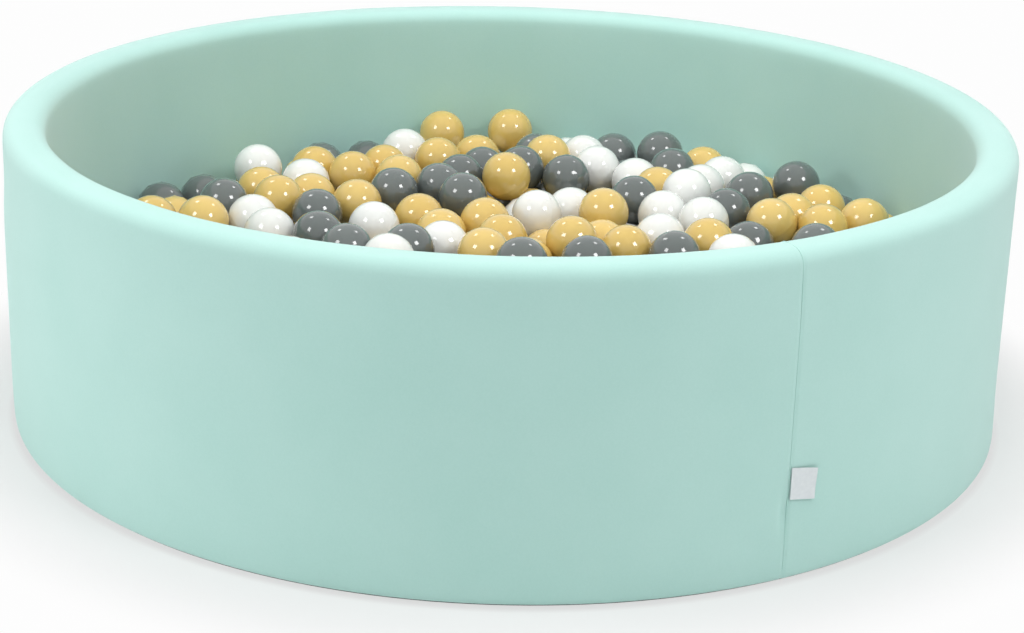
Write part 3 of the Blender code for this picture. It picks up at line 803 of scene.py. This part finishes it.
# %% Spin the foam and the strips
COIL_WIDTH, COIL_HEIGHT, COIL_HALF_GAP = 0.0020, 0.0022, 0.0016
TAPE_WIDTH, TAPE_THICKNESS = 0.0080, 0.0008
LIP_WIDTH, FOLD_RUN = 0.0060, 0.0030
ZIP_HEIGHT = 0.0034
ROOM_ABOVE_ZIP = 0.0024
CHANNEL_TOP = ZIP_HEIGHT + COIL_HEIGHT + ROOM_ABOVE_ZIP
TAPE_NEAR = COIL_HALF_GAP + COIL_WIDTH + FIT
TAPE_FAR = TAPE_NEAR + TAPE_WIDTH
TAPE_BOTTOM = ZIP_HEIGHT + (COIL_HEIGHT - TAPE_THICKNESS) / 2
LIP_TOP = TAPE_BOTTOM - FIT
HALF_CHANNEL = TAPE_FAR + FOLD_RUN + CLOTH + FIT
STRIP_FAR = WALL_THICKNESS / 2 - FOOT_ROUNDING - FIT
ZIP_ANGLE = SEAM_ANGLE - math.tau / RING_STEPS
FOAM_INSET = 0.0048
STRIP_ROUNDING = 0.0003

foam_corners = wall_section(FOAM_INSET, 6, 4)
foam_corners += [(ZIP_RADIUS - HALF_CHANNEL, FOAM_INSET), (ZIP_RADIUS - HALF_CHANNEL, CHANNEL_TOP),
                 (ZIP_RADIUS + HALF_CHANNEL, CHANNEL_TOP), (ZIP_RADIUS + HALF_CHANNEL, FOAM_INSET)]
ring_foam = spun("ring_foam", foam_corners, steps=96)
dress(ring_foam, "wall_foam", "pit_wall", cut_foam)


def lip(far_edge):
    """A base strip's section: flat on the floor, then folded up to where the zip is sewn on."""
    under = LIP_TOP - CLOTH
    return [(far_edge, 0), (TAPE_FAR + FOLD_RUN, 0), (TAPE_FAR, under),
            (TAPE_FAR - LIP_WIDTH, under), (TAPE_FAR - LIP_WIDTH, LIP_TOP),
            (TAPE_FAR + CLOTH, LIP_TOP), (TAPE_FAR + FOLD_RUN + CLOTH, CLOTH), (far_edge, CLOTH)]


TAPE = [(TAPE_NEAR, TAPE_BOTTOM), (TAPE_FAR, TAPE_BOTTOM),
        (TAPE_FAR, TAPE_BOTTOM + TAPE_THICKNESS), (TAPE_NEAR, TAPE_BOTTOM + TAPE_THICKNESS)]
COIL_MIDDLE = (COIL_HALF_GAP + COIL_WIDTH / 2, ZIP_HEIGHT + COIL_HEIGHT / 2)
COIL = arc(COIL_MIDDLE, COIL_WIDTH / 2, 0, 315, 7)


def soften(piece, width):
    bevel = piece.modifiers.new("softer", "BEVEL")
    bevel.width = width
    bevel.segments = 2
    bevel.limit_method = "ANGLE"
    bevel.angle_limit = math.radians(30)
    apply_all(piece)


def part_ring(name, corners):
    """Spin a section along the zip alone, which stops one step short of the seam at both ends."""
    piece = section(name, corners, angle=ZIP_ANGLE)
    sweep = math.tau * (RING_STEPS - 1) / RING_STEPS - math.tau / RING_STEPS
    spin(SMOOTH_STEPS - 4, sweep)
    pick_all()
    bpy.ops.mesh.fill_holes(sides=0)
    return close_up(piece)


for word, side in (("outer", 1), ("inner", -1)):
    placed = {name: [(ZIP_RADIUS + side * u, w) for u, w in corners]
              for name, corners in (("strip", lip(STRIP_FAR)), ("tape", TAPE), ("coil", COIL))}
    strip = spun("grip_strip_" + word, placed["strip"])
    soften(strip, STRIP_ROUNDING)
    dress(strip, "base_strip_" + word, "pit_wall", grip_cloth)
    for kind, finish in (("tape", zip_tape), ("coil", zip_coil)):
        part = part_ring(f"ring_{kind}_{word}", placed[kind])
        lay_cloth(part, lambda radius, height: radius)
        dress(part, f"wall_zip_{kind}_{word}", "pit_wall", finish)
print("strips, tapes and coils spun")

# %% [markdown]
# ## Floor mat
# The mat is a foam disc in its own cover: jersey above and down its side, and two half discs of
# non-slip cloth below with a straight zip between them. Its top is slightly crowned, so it is
# filled like the sleeve, and held by its own cap.

# %% Spin and fill the mat's cover
MAT_SWELL = 0.0025
mat_top = MAT_THICKNESS - MAT_SWELL
MAT_EDGE = MAT_RADIUS - 0.0006
MAT_ROUNDING = 0.012
MAT_RINGS = 16
MAT_SIDE_HEIGHTS = (0.024, 0.012, 0.0018)
MAT_FREE_DEPTH = 0.010
CAP_SPARE = 0.0002

rows = [(MAT_EDGE * k / MAT_RINGS, mat_top) for k in range(MAT_RINGS)]
rows += arc((MAT_EDGE - MAT_ROUNDING, mat_top - MAT_ROUNDING), MAT_ROUNDING, 90, 0, 4)
rows += [(MAT_EDGE, height) for height in MAT_SIDE_HEIGHTS]
mat_cover = spun("mat_jersey", rows, is_open=True, steps=96)
swell(mat_cover, lambda co: co[:, 2] < mat_top - MAT_FREE_DEPTH, MAT_SWELL - CAP_SPARE)
smooth_once(mat_cover)
thicken(mat_cover, CLOTH)
lay_cloth(mat_cover, lambda radius, height: height - radius)
close_up(mat_cover, 60)
dress(mat_cover, "mat_cover_top", "floor_mat", mint_jersey)

# %% Cut the mat's foam
CORE_INSET = 0.0030
CORE_DROP = 0.0006
CORE_FOOT = CORE_INSET - CORE_DROP
NEAR_FLOOR = 0.003

let_go()
bpy.ops.mesh.primitive_cylinder_add(vertices=96, radius=MAT_RADIUS - CORE_INSET,
                                    depth=mat_top - 2 * CORE_INSET,
                                    location=(0, 0, mat_top / 2 - CORE_DROP))
mat_core = named("mat_core")
bpy.ops.object.transform_apply(location=True, rotation=True, scale=True)
take(mat_core, "EDIT")
for edge in (-HALF_CHANNEL, HALF_CHANNEL):
    pick(mat_core, "faces", lambda middle: middle.z < NEAR_FLOOR)
    bpy.ops.mesh.bisect(plane_co=(0, edge, 0), plane_no=(0, 1, 0))
pick(mat_core, "faces", lambda middle: middle.z < NEAR_FLOOR and abs(middle.y) < HALF_CHANNEL / 2)
pull_out((0, 0, CHANNEL_TOP - CORE_FOOT))
close_up(mat_core)
dress(mat_core, "mat_foam", "floor_mat", cut_foam)

# %% Fold the mat's base and lay its zip
MAT_ZIP_SHARE = 0.7764
HALF_MAT_ZIP = MAT_ZIP_SHARE * MAT_RADIUS
BASE_RADIUS = MAT_RADIUS * FLATNESS
for word, side in (("front", -1), ("rear", 1)):
    let_go()
    bpy.ops.mesh.primitive_circle_add(vertices=192, radius=BASE_RADIUS, fill_type="NGON")
    base = named("mat_grip_" + word)
    take(base, "EDIT")
    pick_all()
    bpy.ops.mesh.bisect(plane_co=(0, side * (TAPE_FAR + FOLD_RUN), 0), plane_no=(0, -side, 0),
                        clear_outer=True)
    for push in ((0, -side * FOLD_RUN, LIP_TOP - CLOTH), (0, -side * LIP_WIDTH, 0)):
        reach = min(abs(v.co.y) for v in bmesh.from_edit_mesh(base.data).verts)
        pick(base, "edges",
             lambda middle: abs(middle.x) < 0.001 and abs(abs(middle.y) - reach) < 1e-6)
        pull_out(push)
    bpy.ops.object.mode_set(mode="OBJECT")
    thicken(base, CLOTH, 1 if base.data.polygons[0].normal.z > 0 else -1)
    close_up(base)
    dress(base, "mat_base_" + word, "floor_mat", grip_cloth)
    for kind, corners, finish in (("tape", TAPE, zip_tape), ("coil", COIL, zip_coil)):
        bar = loop_of_points(f"mat_{kind}_{word}", corners,
                             lambda corner: (-HALF_MAT_ZIP, side * corner[0], corner[1]), "NGON")
        pick_all()
        pull_out((2 * HALF_MAT_ZIP, 0, 0))
        close_up(bar)
        lay_flat(bar, 1)
        dress(bar, f"mat_zip_{kind}_{word}", "floor_mat", finish)
print("mat made")

# %% [markdown]
# ## Sliders and pullers
# The rigid model's sliders have the right shape but razor edges, and cast zinc has none. A copy of
# each is merged into whole faces and its edges are rounded.

# %% Round the zinc pieces
ZINC_ROUNDING = 0.00018


def rounded_copy(node, name, width):
    piece = copied(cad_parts[node])
    piece.parent = None
    for key in list(piece.keys()):
        del piece[key]
    piece.name = piece.data.name = name
    piece.data.materials.clear()
    take(piece, "EDIT")
    pick_all()
    bpy.ops.mesh.remove_doubles(threshold=1e-5)
    bpy.ops.mesh.dissolve_limited(angle_limit=math.radians(4))
    soften(piece, width)
    return close_up(piece)


for node in ("wall_zip_slider", "wall_zip_puller", "mat_zip_slider", "mat_zip_puller"):
    piece = rounded_copy(node, node.replace("zip", "zinc"), ZINC_ROUNDING)
    dress(piece, node, node, cast_zinc)
print("zinc pieces rounded")

# %% [markdown]
# ## Where the balls lie
# The middle of each ball in the photograph was read off. A sight line through each one is
# followed to the balls' level, and the balls are pushed apart until none overlap. An even scatter
# fills the part that the near rim hides. This is the rigid model's own rule, so the balls land on
# its domes and on its loose balls.

# %% Read the balls' places
BEIGE_PIXELS = [
    (153, 221), (204, 221), (262, 191), (279, 201), (315, 170), (308, 197), (357, 204), (355, 175),
    (384, 168), (398, 179), (442, 133), (440, 161), (420, 219), (441, 234), (510, 131), (477, 158),
    (507, 176), (547, 158), (603, 213), (484, 223), (502, 240), (488, 255), (526, 262), (571, 243),
    (627, 251), (601, 245), (703, 170), (660, 190), (710, 244), (772, 224), (792, 218), (820, 209),
    (822, 229), (864, 223),
]
GREY_PIXELS = [
    (224, 203), (317, 214), (316, 237), (345, 250), (394, 192), (410, 250), (460, 178), (438, 187),
    (462, 197), (483, 169), (518, 170), (536, 156), (564, 178), (520, 264), (587, 262), (612, 156),
    (660, 154), (671, 172), (638, 200), (724, 212), (749, 196), (796, 185), (674, 257), (748, 246),
    (816, 249),
]
WHITE_PIXELS = [
    (258, 168), (254, 219), (272, 233), (306, 183), (374, 227), (389, 260), (406, 152), (440, 246),
    (537, 215), (571, 212), (586, 159), (601, 170), (635, 181), (720, 180), (698, 188), (684, 191),
    (663, 215), (702, 222), (660, 239), (733, 260),
]
BALL_SPACING = 0.0008
PITCH = 2 * BALL_RADIUS + BALL_SPACING
LEVEL_BAND = 0.45 * BALL_RADIUS
LAYER_DROP = 0.75 * PITCH
PUSH_SHARE, SIGHT_SHARE, LEVEL_SHARE = 0.35, 0.3, 0.01
SETTLING_ROUNDS, SIGHT_ROUNDS = 800, 500
COVERAGE, CROWDING = 0.80, 0.84
BALL_REACH = INNER_RADIUS * FLATNESS - BALL_RADIUS - FIT
GOLDEN_TURN = math.radians(137.508)
LOOSE_BALLS = 37


def behind_the_rim(place):
    run = place[:2] - eye_place[:2]
    square, toward = run @ run, eye_place[:2] @ run
    outside = eye_place[:2] @ eye_place[:2] - ZIP_RADIUS ** 2
    share = (-toward - math.sqrt(toward ** 2 - square * outside)) / square
    return eye_place[2] + share * (place[2] + BALL_RADIUS - eye_place[2]) < PIT_HEIGHT


def scatter(coverage, level):
    """An even, irregular scatter over the whole bed, like seeds on a sunflower."""
    count = round(coverage * (2 * (BALL_REACH + BALL_RADIUS) / PITCH) ** 2)
    steps = np.arange(count)
    out = BALL_REACH * np.sqrt((steps + 0.5) / count)
    turn = steps * GOLDEN_TURN
    height = level + LEVEL_BAND * np.sin(steps.astype(float) ** 2)
    return np.column_stack([out * np.cos(turn), out * np.sin(turn), height])


def push_apart(balls, others):
    apart = balls[:, None] - others[None]
    distance = np.linalg.norm(apart, axis=2)
    distance[distance == 0] = 2 * PITCH
    overlap = np.maximum(PITCH - distance, 0)
    return (apart / distance[..., None] * overlap[..., None]).sum(axis=1) * PUSH_SHARE


def stay_inside(balls, low, high):
    balls[:, 2] = np.clip(balls[:, 2], low, high)
    out = np.hypot(balls[:, 0], balls[:, 1])
    balls[:, :2] *= np.minimum(1, BALL_REACH / np.maximum(out, FIT))[:, None]


eye_place = np.array(eye)
offsets = (np.array(BEIGE_PIXELS + GREY_PIXELS + WHITE_PIXELS, float) - CENTRE_PIXEL) / LENS_PIXELS
lines = np.array(ahead) + offsets[:, :1] * np.array(right) - offsets[:, 1:] * np.array(up)
lines /= np.linalg.norm(lines, axis=1)[:, None]
on_level = eye_place + lines * ((BALL_LEVEL - eye_place[2]) / lines[:, 2])[:, None]
colours = ["beige"] * len(BEIGE_PIXELS) + ["grey"] * len(GREY_PIXELS)
colours += ["white"] * len(WHITE_PIXELS)
seen = len(colours)
unseen = [place for place in scatter(COVERAGE, BALL_LEVEL)
          if np.linalg.norm(on_level - place, axis=1).min() > CROWDING * PITCH
          and behind_the_rim(place)]
top = np.vstack([on_level, unseen])
for settling in range(SETTLING_ROUNDS):
    top += push_apart(top, top)
    if settling < SIGHT_ROUNDS:
        along = ((top[:seen] - eye_place) * lines).sum(axis=1)
        top[:seen] += SIGHT_SHARE * (eye_place + lines * along[:, None] - top[:seen])
        top[:seen] += LEVEL_SHARE * (on_level - top[:seen])
    stay_inside(top, BALL_LEVEL - LEVEL_BAND, BALL_LEVEL + LEVEL_BAND)
nearest = np.argsort(np.hypot(on_level[:, 0], on_level[:, 1]), kind="stable")
loose = sorted(int(index) for index in nearest[:LOOSE_BALLS])
packed = [index for index in range(len(top)) if index not in loose]
print("top layer:", len(top), "of them loose:", len(loose))

# %% [markdown]
# Two more layers lie below, down to the mat. They are seen only as dull curves in the gaps, so they
# have fewer faces. They are scattered, pushed clear of the top layer and of each other, and held up
# against the top layer, as if that layer had sunk in until it rested on them.

# %% Settle the deeper balls
DEEPER_LEVEL = BALL_LEVEL - LAYER_DROP
LOWEST = MAT_THICKNESS + BALL_RADIUS + FIT
HIGHEST = BALL_LEVEL - BALL_RADIUS
SECOND_COVERAGE, THIRD_COVERAGE = 0.70, 0.62
SECOND_ROUNDS, LIFTING_ROUNDS, THIRD_ROUNDS = 240, 190, 200
LIFT = 0.011 * PITCH

second = scatter(SECOND_COVERAGE, DEEPER_LEVEL)
for settling in range(SECOND_ROUNDS):
    second += push_apart(second, second) + push_apart(second, top)
    if settling < LIFTING_ROUNDS:
        second[:, 2] += LIFT
    stay_inside(second, HIGHEST - LAYER_DROP, HIGHEST)

third = scatter(THIRD_COVERAGE, DEEPER_LEVEL - LAYER_DROP)
third[:, :2] *= -1
for settling in range(THIRD_ROUNDS):
    third += push_apart(third, third) + push_apart(third, second) + push_apart(third, top)
    stay_inside(third, LOWEST, DEEPER_LEVEL)
for word, layer, others in (("second", second, top), ("third", third, second)):
    gap = np.linalg.norm(layer[:, None] - np.vstack([layer, others])[None], axis=2)
    closest = round(float(gap[gap > 0].min()) * 1000, 1)
    print(word, "layer:", len(layer), "closest middles", closest, "mm")

# %% [markdown]
# ## A ball
# A play ball is blown in a two-part mould. Where the halves met there is a very fine line round its
# middle, and at one pole the small dimple where it was filled. One ball is modelled for each level
# of detail, and copied.

# %% Model the balls to copy
LINE_WIDTH, LINE_SWELL = 0.0007, 1.0022
DIMPLE = 0.0005
LEAN_STEP, SHADE_STEP = 0.618, 0.7548776


def master_ball(name, sides, rings, detailed):
    let_go()
    bpy.ops.mesh.primitive_uv_sphere_add(segments=sides, ring_count=rings, radius=BALL_RADIUS)
    ball = named(name)
    take(ball, "EDIT")
    if detailed:
        pick(ball, "edges", lambda middle: abs(middle.z) < 1e-5)
        bpy.ops.mesh.bevel(offset=LINE_WIDTH, segments=2, affect="EDGES")
        pick(ball, "verts", lambda middle: abs(middle.z) < 1e-5)
        bpy.ops.transform.resize(value=(LINE_SWELL, LINE_SWELL, 1), center_override=(0, 0, 0))
    pick(ball, "verts", lambda middle: middle.z > BALL_RADIUS * 0.9999)
    bpy.ops.transform.translate(value=(0, 0, -DIMPLE))
    close_up(ball, 80)
    return ball


def copy_ball(master, number, middle, shade):
    """A copy of a ball, turned its own way, that remembers its own places and its shade."""
    ball = copied(master)
    own = ball.data.attributes.new("own", "FLOAT_VECTOR", "POINT")
    co = places(ball)
    own.data.foreach_set("vector", (co / BALL_RADIUS).astype(np.float32).ravel())
    tone = ball.data.attributes.new("shade", "FLOAT", "POINT")
    tone.data.foreach_set("value", np.full(len(co), shade, np.float32))
    lean = math.acos(1 - 2 * ((number * LEAN_STEP) % 1))
    tilt = Matrix.Rotation(number * GOLDEN_TURN, 4, "Z") @ Matrix.Rotation(lean, 4, "Y")
    ball.data.transform(Matrix.Translation(Vector(middle)) @ tilt)
    return ball


def shade_of(number):
    return (number * SHADE_STEP) % 1


fine = master_ball("fine_ball", 40, 20, True)
plain = master_ball("plain_ball", 20, 12, False)
rough = master_ball("rough_ball", 14, 8, False)

# %% Lay the loose balls
numbers = {colour: 0 for colour in BALL_FINISHES}
for index in loose:
    colour = colours[index]
    numbers[colour] += 1
    node = f"ball_{colour}_{numbers[colour]:02d}"
    low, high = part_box(node)
    middle = (Vector(low) + Vector(high)) / 2
    ball = copy_ball(fine, index, middle, shade_of(index))
    ball.name = ball.data.name = f"loose_{colour}_{numbers[colour]:02d}"
    dress(ball, node, node, BALL_FINISHES[colour])
print("loose balls:", numbers)

# %% [markdown]
# The bed's balls are joined by colour, since the rigid model holds them as one body. The hidden
# ones take their colours in turn, in about the mix of the ones in view.

# %% Lay the bed
MIX = ["beige", "grey", "white", "beige", "grey", "beige",
       "white", "beige", "grey", "beige", "white", "grey"]
by_colour = {colour: [] for colour in BALL_FINISHES}
for index in packed:
    is_seen = index < seen
    colour = colours[index] if is_seen else MIX[(index * 5) % len(MIX)]
    master = fine if is_seen else plain
    by_colour[colour].append(copy_ball(master, index, top[index], shade_of(index)))
for number, middle in enumerate(np.vstack([second, third])):
    colour = MIX[(number * 7 + number // len(MIX)) % len(MIX)]
    by_colour[colour].append(copy_ball(rough, number, middle, shade_of(number)))
for colour, balls in by_colour.items():
    bed = join("bed_balls_" + colour, balls)
    dress(bed, "ball_bed", "ball_bed", BALL_FINISHES[colour])
    print(bed.name, len(balls), "balls")
for master in (fine, plain, rough):
    bpy.data.objects.remove(master)

# %% [markdown]
# ## Floor, light and background
# The photograph was made in a white studio. Each ball mirrors four small lights, so there are four
# small softboxes, one each side of the camera and two dim ones behind. Their directions come from
# where those reflections lie. Four broad ones, overhead, high in front and at each side, light the
# cloth, and are kept out of reflections because the balls mirror nothing else.

# %% Hang the lights
def white_backdrop():
    """White for the camera and in reflections, and a plain soft light for everything else."""
    world = bpy.data.worlds.new("studio")
    bpy.context.scene.world = world
    world.use_nodes = True
    tree = world.node_tree
    tree.nodes.clear()
    ray = add_node(tree, "LightPath")
    white, soft = add_node(tree, "Background"), add_node(tree, "Background")
    white.inputs["Color"].default_value = (1, 1, 1, 1)
    soft.inputs["Color"].default_value = (1, 1, 1, 1)
    soft.inputs["Strength"].default_value = WORLD_LIGHT
    mirrored = reckon(tree, "MAXIMUM", ray.outputs["Is Glossy Ray"],
                      ray.outputs["Is Transmission Ray"])
    seen_white = reckon(tree, "MAXIMUM", ray.outputs["Is Camera Ray"], mirrored)
    choice, end = add_node(tree, "MixShader"), add_node(tree, "OutputWorld")
    tree.links.new(seen_white, choice.inputs[0])
    tree.links.new(soft.outputs[0], choice.inputs[1])
    tree.links.new(white.outputs[0], choice.inputs[2])
    tree.links.new(choice.outputs[0], end.inputs["Surface"])


def softbox(name, direction, far, size, power):
    """A square light that faces the balls. The direction is across, towards the back and up."""
    light = bpy.data.lights.new(name, "AREA")
    light.size = size
    light.energy = power
    lamp = bpy.data.objects.new(name, light)
    bpy.context.scene.collection.objects.link(lamp)
    lamp.location = Vector((0, 0, BALL_LEVEL)) + Vector(direction).normalized() * far
    lamp.rotation_euler = Vector(direction).to_track_quat("Z", "Y").to_euler()
    return lamp


WORLD_LIGHT = 0.02
white_backdrop()
softbox("key_left", (-0.593, -0.475, 0.650), 4.0, 1.0, 28)
softbox("key_right", (0.556, -0.501, 0.664), 4.0, 1.0, 40)
softbox("rear_left", (-0.40, 0.43, 0.80), 4.0, 0.6, 7)
softbox("rear_right", (0.40, 0.43, 0.80), 4.0, 0.6, 7)
for fill in (
    softbox("overhead", (0.0, 0.1, 1.0), 3.0, 2.6, 70),
    softbox("high_front", (0.0, -0.5, 0.87), 4.0, 2.0, 50),
    softbox("side_left", (-1.0, -0.15, 0.25), 3.5, 1.6, 37),
    softbox("side_right", (1.0, -0.15, 0.25), 3.5, 1.6, 18),
):
    fill.visible_glossy = False

# %% [markdown]
# The floor is plain diffuse white with a little glow of its own. A stronger glow is for the camera
# alone, so it puts no light on the object. It grows away from the ring, where the floor ends as
# white as the backdrop, and comes up again right at the foot, because the photograph shows a soft
# pale shadow there and no dark line.

# %% Lay the floor
TABLE_GLOW = 0.07
SHADOW_END = 0.82
GLOW_SHARES = (0.50, 1.0)
GLOW_STRENGTHS = (0.72, 0.985)
FOOT_GLOW = 0.9
FOOT_GLOW_REACH = 0.02
FLOOR_RADIUS, FLOOR_DROP = 14, 0.0005


def floor_finish():
    """Diffuse white with a glow, and for the camera a stronger one that grows outwards."""
    material, tree, shader, where = new_finish(
        "studio floor", Roughness=0.9, Specular_IOR_Level=0.2
    )
    scuffs = spots(tree, where["Object"], 3.0)
    colour_by(tree, shader, scuffs, (236, 236, 236), (242, 242, 242))
    shader.inputs["Emission Color"].default_value = (1, 1, 1, 1)
    shader.inputs["Emission Strength"].default_value = TABLE_GLOW
    glow = add_node(tree, "Emission")
    across, along, _ = axes(tree, where["Object"])
    out = far_out(tree, across, along)
    strength = span(tree, out, (PIT_RADIUS, SHADOW_END, *GLOW_STRENGTHS))
    tree.links.new(strength, glow.inputs["Strength"])
    wide = span(tree, out, (PIT_RADIUS, SHADOW_END, *GLOW_SHARES))
    foot = span(tree, out, (PIT_RADIUS, PIT_RADIUS + FOOT_GLOW_REACH, FOOT_GLOW, 0.0), smooth=False)
    share = reckon(tree, "MAXIMUM", wide, foot)
    share = reckon(tree, "MULTIPLY", share, reckon(tree, "GREATER_THAN", out, ZIP_RADIUS))
    ray = add_node(tree, "LightPath")
    mix = add_node(tree, "MixShader")
    tree.links.new(reckon(tree, "MULTIPLY", share, ray.outputs["Is Camera Ray"]), mix.inputs[0])
    tree.links.new(shader.outputs[0], mix.inputs[1])
    tree.links.new(glow.outputs[0], mix.inputs[2])
    tree.links.new(mix.outputs[0], tree.nodes["Material Output"].inputs["Surface"])
    return material


let_go()
bpy.ops.mesh.primitive_circle_add(vertices=96, radius=FLOOR_RADIUS, fill_type="NGON",
                                  location=(0, 0, -FLOOR_DROP))
floor = named("studio_floor")
floor.data.materials.append(floor_finish())

# %% [markdown]
# ## Last look
# The picture is shown through the plain Standard view.

# %% Set the view
bpy.context.scene.view_settings.view_transform = "Standard"
